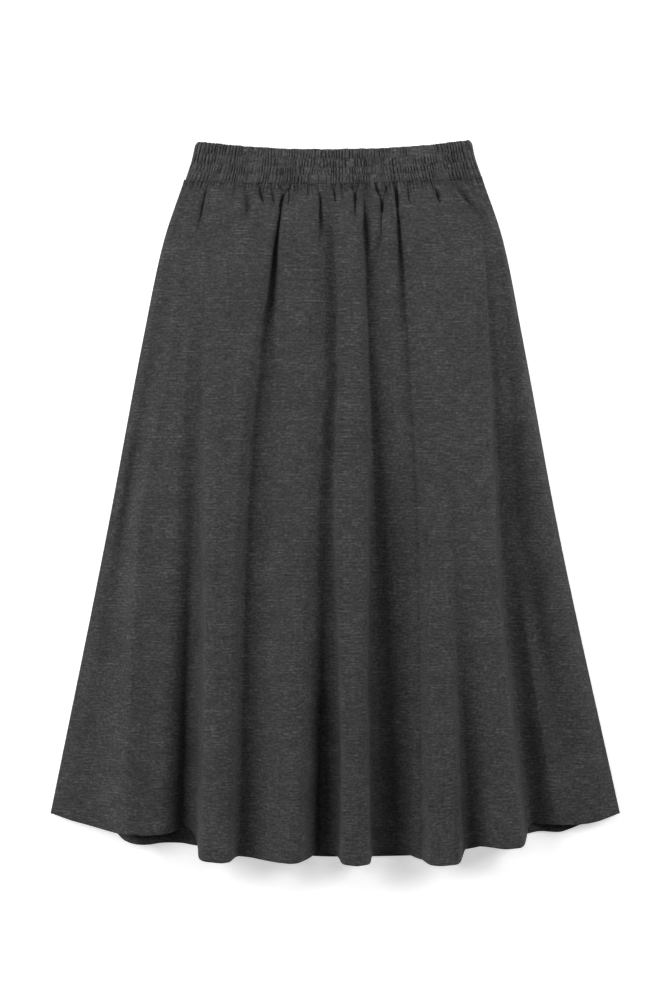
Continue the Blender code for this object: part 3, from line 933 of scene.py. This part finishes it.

# %% [markdown]
# ## The heathered cloth
#
# Heather cloth is spun from fibres dyed in different greys, so up close it is a
# mixture of pale and dark flecks drawn out along the threads. A scan of real
# cloth could be wrapped round the pieces, but it would repeat and blur. Here
# the colour is built from layers of noise: fine flecks, longer slubs that run
# across, patches of a centimetre or two, and a broad mottle. In some patches
# small groups of raised weft threads lie side by side. The flecks and slubs
# also lift the surface a little, and a plain weave of crossed waves gives the
# threads.
#
# All patterns read `grain`, the place on the flat cloth, and so they bend with
# the folds. Only the finest gathers below the band read `ribs`: they lift the
# cloth with a bump, and paint shade between them and light on them. Numbers
# that are the same everywhere, such as sheen, are set on the shader itself.


# %% Node helpers
def node(tree, kind, links=None, **settings):
    made = tree.nodes.new(kind)
    for key, value in settings.items():
        setattr(made, key, value)
    for socket, value in (links or {}).items():
        target = made.inputs[socket]
        if isinstance(value, bpy.types.NodeSocket):
            tree.links.new(value, target)
        else:
            target.default_value = value
    return made


def flecks(tree, place, size, detail, rough=0.55):
    """Noise whose spots are size = (across, down) metres."""
    scaled = node(
        tree, "ShaderNodeVectorMath", {0: place, 1: (1 / size[0], 1 / size[1], 23.0)}, operation="MULTIPLY"
    )
    return node(
        tree, "ShaderNodeTexNoise",
        {"Vector": scaled.outputs[0], "Scale": 1.0, "Detail": detail, "Roughness": rough},
    ).outputs["Fac"]  # fmt: skip


def spread(tree, value, low, high, to_low, to_high):
    return node(
        tree, "ShaderNodeMapRange",
        {"Value": value, "From Min": low, "From Max": high, "To Min": to_low, "To Max": to_high},
    ).outputs["Result"]  # fmt: skip


def combine(tree, operation, a, b):
    return node(tree, "ShaderNodeMath", {0: a, 1: b}, operation=operation).outputs[0]


def wave_of(tree, operation, angle):
    return node(tree, "ShaderNodeMath", {0: angle}, operation=operation).outputs[0]


print("node helpers ready")

# %% The heather's layers
CHARCOAL = (0.0485, 0.0487, 0.0505)
# each layer's spots across and down in metres, the detail of its noise, how far
# from the middle its noise reaches, and how far it sways the colour
HEATHER = dict(
    fine=((0.0036, 0.0024), 2.0, 0.23, 0.50),
    slub=((0.011, 0.0024), 1.5, 0.23, 0.28),
    patch=((0.017, 0.012), 2.0, 0.25, 0.17),
    mottle=((0.075, 0.055), 2.0, 0.25, 0.13),
)
WEAVE = 0.00085  # metres after which the weave repeats itself
WEFT_PITCH, WEFT_BEND, WEFT_SWAY = 0.0034, 9.0, 0.22  # the groups of raised weft threads
# colour factors: painted shade between the finest gathers, painted light on their crests
RIB_PAINTED_SHADE_AND_LIGHT = (0.58, 1.28)  # between and on the finest gathers
RIB_LIFT, FLECK_LIFT = 0.0013, 0.0006  # metres that ribs, and flecks and threads, stand up
print("flecks are", [round(1000 * size, 1) for size in HEATHER["fine"][0]], "mm across and down")


# %% The cloth's tones
def raised_wefts(tree, place, slub, patch):
    """The rows of raised threads bend with the slubs, and show in some of the patches."""
    row = node(tree, "ShaderNodeSeparateXYZ", {0: place}).outputs[1]
    rows = combine(tree, "MULTIPLY", row, 2 * math.pi / WEFT_PITCH)
    rows = combine(tree, "ADD", rows, combine(tree, "MULTIPLY", slub, WEFT_BEND))
    shown = spread(tree, patch, 0.46, 0.64, 0.0, WEFT_SWAY)
    return combine(tree, "MULTIPLY", wave_of(tree, "SINE", rows), shown)


def heather_tone(tree, place, noise, contrast):
    """A factor for the colour, which is 1 where the layers cancel out."""
    layers = [
        spread(tree, noise[layer], 0.5 - reach, 0.5 + reach, -sway, sway)
        for layer, (_, _, reach, sway) in HEATHER.items()
    ]
    mix = layers[0]
    for layer in [*layers[1:], raised_wefts(tree, place, noise["slub"], noise["patch"])]:
        mix = combine(tree, "ADD", mix, layer)
    return combine(tree, "POWER", 2.0, combine(tree, "MULTIPLY", mix, contrast))


def finest_gathers(tree):
    """A wave over the gathers: in `ribs` x counts them, and y is how strongly they show."""
    ribs_here = node(tree, "ShaderNodeAttribute", attribute_name="ribs").outputs["Vector"]
    ribs_here = node(tree, "ShaderNodeSeparateXYZ", {0: ribs_here})
    count = combine(tree, "MULTIPLY", ribs_here.outputs[0], 2 * math.pi)
    return combine(tree, "MULTIPLY", wave_of(tree, "COSINE", count), ribs_here.outputs[1])


print("tone helpers ready")


# %% The cloth's relief
def woven_relief(tree, place, noise, rib, relief):
    threads = node(
        tree, "ShaderNodeVectorMath", {0: place, 1: (2 * math.pi / WEAVE,) * 3}, operation="MULTIPLY"
    ).outputs[0]
    axes = node(tree, "ShaderNodeSeparateXYZ", {0: threads})
    warp, weft = (wave_of(tree, "SINE", axis) for axis in axes.outputs[:2])
    weave = combine(tree, "MULTIPLY", combine(tree, "MULTIPLY", warp, weft), 0.12)
    height = combine(tree, "ADD", weave, combine(tree, "ADD", noise["fine"], noise["slub"]))
    cloth = {"Height": height, "Strength": relief, "Distance": FLECK_LIFT}
    bump = node(tree, "ShaderNodeBump", cloth).outputs[0]
    gathers = {"Height": rib, "Strength": 1.0, "Distance": RIB_LIFT, "Normal": bump}
    return node(tree, "ShaderNodeBump", gathers).outputs[0]


print("the weave repeats every", round(1000 * WEAVE, 2), "mm")


# %% The cloth's material
def cloth_material(name, colour, contrast, relief):
    mat = bpy.data.materials.new(name)
    mat.use_nodes = True
    tree = mat.node_tree
    shader = tree.nodes["Principled BSDF"]
    place = node(tree, "ShaderNodeAttribute", attribute_name="grain").outputs["Vector"]
    noise = {layer: flecks(tree, place, size, detail) for layer, (size, detail, _, _) in HEATHER.items()}
    rib = finest_gathers(tree)
    level = heather_tone(tree, place, noise, contrast)
    # painted shade between the finest gathers and painted light on them, multiplied into the colour
    level = combine(tree, "MULTIPLY", level, spread(tree, rib, -1.0, 1.0, *RIB_PAINTED_SHADE_AND_LIGHT))
    tint = node(tree, "ShaderNodeVectorMath", {0: colour, "Scale": level}, operation="SCALE").outputs[0]
    tree.links.new(tint, shader.inputs["Base Color"])
    tree.links.new(spread(tree, noise["fine"], 0.2, 0.8, 0.88, 1.0), shader.inputs["Roughness"])
    tree.links.new(woven_relief(tree, place, noise, rib, relief), shader.inputs["Normal"])
    shader.inputs["Specular IOR Level"].default_value = 0.15
    shader.inputs["Sheen Weight"].default_value = 0.02
    shader.inputs["Sheen Roughness"].default_value = 0.6
    return mat


BAND_PALER = 1.46  # crowded gathers shade each other, so the band's cloth is made paler
skirt_cloth = cloth_material("heathered_charcoal_cloth", CHARCOAL, 1.42, 0.9)
band_cloth = cloth_material("shirred_charcoal_cloth", tuple(BAND_PALER * c for c in CHARCOAL), 1.7, 0.9)
print("the cloth has", len(skirt_cloth.node_tree.nodes), "nodes")

# %% [markdown]
# ## The sewing thread
#
# Thread in a near grey, a little smoother than the cloth, with a fine twist
# along each stitch. The twist could be modelled, but it is far finer than
# anyone sees, so a wave in the material paints its shade and light into the
# colour, and the same wave varies the roughness.


# %% The thread's material
def thread_material(name, colour):
    mat = bpy.data.materials.new(name)
    mat.use_nodes = True
    tree = mat.node_tree
    shader = tree.nodes["Principled BSDF"]
    place = node(tree, "ShaderNodeAttribute", attribute_name="grain").outputs["Vector"]
    twist = node(
        tree, "ShaderNodeTexWave",
        {"Vector": place, "Scale": 900.0, "Distortion": 1.5, "Detail": 1.0},
        bands_direction="DIAGONAL",
    ).outputs["Fac"]  # fmt: skip
    # painted shade and painted light of the twist: the colour runs darker and lighter along the wave
    level = spread(tree, twist, 0.0, 1.0, 0.75, 1.2)
    tint = node(tree, "ShaderNodeVectorMath", {0: colour, "Scale": level}, operation="SCALE").outputs[0]
    tree.links.new(tint, shader.inputs["Base Color"])
    tree.links.new(spread(tree, twist, 0.0, 1.0, 0.6, 0.8), shader.inputs["Roughness"])
    shader.inputs["Specular IOR Level"].default_value = 0.3
    return mat


thread = thread_material("grey_sewing_thread", (0.075, 0.075, 0.079))
print("thread made")

# %% [markdown]
# ## Hang the pieces on the frame
#
# Each piece rides on the part's one body and stands for the solid that it
# dresses.

# %% Ride and replace
DRESSED = (
    (front_piece, "front_panel", skirt_cloth, "skirt_cloth"),
    (back_piece, "back_panel", skirt_cloth, "skirt_cloth"),
    (band_front, "waistband_front", band_cloth, "waistband_cloth"),
    (band_back, "waistband_back", band_cloth, "waistband_cloth"),
)
for piece, solid, material, slot in DRESSED:
    piece.data.materials.append(material)
    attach(piece, "root")
    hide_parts(solid)
for piece in stitches:
    piece.data.materials.append(thread)
    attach(piece, "root")

print(len(DRESSED), "sheets of cloth and", len(stitches), "lines of stitching hang on the frame")

# %% [markdown]
# ## The surface
#
# The skirt lies on a plain pale surface. Lights alone would leave it grey, and
# stronger ones would wash out the dark cloth, so the surface glows a little by
# itself. Far from the skirt, where the lights don't reach, it glows more.

# %% The pale surface
FLOOR_HALF, FLOOR_DROP = 12.0, 0.0004  # metres; it lies just under the cloth
FLOOR_GLOW = 0.5
GLOW_FROM, GLOW_FULL = 0.9, 2.6  # metres from the skirt's middle


def plain_floor():
    mesh = bpy.data.meshes.new("floor")
    corners = [(x * FLOOR_HALF, y * FLOOR_HALF, 0) for x, y in ((-1, -1), (1, -1), (1, 1), (-1, 1))]
    mesh.from_pydata(corners, [], [(0, 1, 2, 3)])
    floor = bpy.data.objects.new("floor", mesh)
    bpy.context.scene.collection.objects.link(floor)
    mat = bpy.data.materials.new("pale_surface")
    mat.use_nodes = True
    shader = mat.node_tree.nodes["Principled BSDF"]
    shader.inputs["Base Color"].default_value = (0.85, 0.85, 0.85, 1)
    shader.inputs["Roughness"].default_value = 0.9
    shader.inputs["Specular IOR Level"].default_value = 0.1
    shader.inputs["Emission Color"].default_value = (1, 1, 1, 1)
    tree = mat.node_tree
    position = node(tree, "ShaderNodeNewGeometry").outputs["Position"]
    away = node(tree, "ShaderNodeVectorMath", {0: position}, operation="LENGTH").outputs["Value"]
    glow = spread(tree, away, GLOW_FROM, GLOW_FULL, FLOOR_GLOW, 1.0)
    tree.links.new(glow, shader.inputs["Emission Strength"])
    mesh.materials.append(mat)
    floor.location.z = -FLOOR_DROP
    return floor


floor = plain_floor()
print("the surface is", 2 * FLOOR_HALF, "m wide")

# %% [markdown]
# ## The light
#
# Soft dark cloth shows its folds only when the light comes in low from the
# sides: the crests catch it and the grooves stay dark. So two strong softboxes
# stand left and right, about 30 degrees up, and three weak ones soften the
# shadows from overhead, from beyond the waist and from beyond the hem. The room
# itself adds very little, because it would fill the grooves. A sky would be
# quicker to set up, but it lights all sides alike and makes the cloth look flat.

# %% The softboxes
# name, place in metres, width and height, watts; each one faces the skirt
LIGHTS = (
    ("overhead_softbox", (0.0, 0.9, 3.0), (1.6, 1.6), 3.0),
    ("waist_softbox", (0.0, 2.0, 1.4), (1.6, 1.6), 10.0),
    ("left_softbox", (-1.9, 0.5, 1.2), (1.0, 1.6), 51.0),
    ("right_softbox", (1.9, 0.85, 1.2), (1.0, 1.6), 51.0),
    ("hem_softbox", (-0.9, -1.9, 0.9), (1.6, 0.8), 6.0),
)
for name, place, size, power in LIGHTS:
    data = bpy.data.lights.new(name, "AREA")
    data.shape = "RECTANGLE"
    data.size, data.size_y = size
    data.energy = power
    lamp = bpy.data.objects.new(name, data)
    bpy.context.scene.collection.objects.link(lamp)
    lamp.location = place
    back = unit(np.array(place))
    turn_z = math.atan2(back[1], back[0]) + math.pi / 2
    lamp.rotation_euler = (math.acos(back[2]), 0.0, turn_z)

print(len(LIGHTS), "softboxes,", sum(light[-1] for light in LIGHTS), "W in all")

# %% The room
ROOM_LIGHT = 0.03  # what the room adds; the camera itself sees plain white
world = bpy.data.worlds.new("dim_room")
bpy.context.scene.world = world
world.use_nodes = True
sky = world.node_tree.nodes["Background"]
sky.inputs["Color"].default_value = (1, 1, 1, 1)
rays = world.node_tree.nodes.new("ShaderNodeLightPath")
seen = world.node_tree.nodes.new("ShaderNodeMapRange")
seen.inputs["To Min"].default_value = ROOM_LIGHT
world.node_tree.links.new(rays.outputs["Is Camera Ray"], seen.inputs["Value"])
world.node_tree.links.new(seen.outputs["Result"], sky.inputs["Strength"])
bpy.context.scene.view_settings.view_transform = "Standard"
print("the room adds", ROOM_LIGHT)

# %% [markdown]
# ## The camera
#
# The skirt is seen from straight above, from 2.4 m. From so far the flutes near
# the edge of the picture hardly lean outwards, and yet their height still shows
# at the hem. An orthographic camera would lose that.

# %% The camera
CAMERA_PLACE, CAMERA_LENS = (0.0009, -0.0061, 2.4), 73.9  # metres, and the lens in mm
camera_data = bpy.data.cameras.new("camera")
camera_data.lens = CAMERA_LENS
camera_data.clip_end = 60
camera = bpy.data.objects.new("camera", camera_data)
bpy.context.scene.collection.objects.link(camera)
camera.location = CAMERA_PLACE
bpy.context.scene.camera = camera
print("camera at", tuple(camera.location))

# %% [markdown]
# ## Finish
#
# The last cell finishes the frame.

bpy.context.view_layer.update()
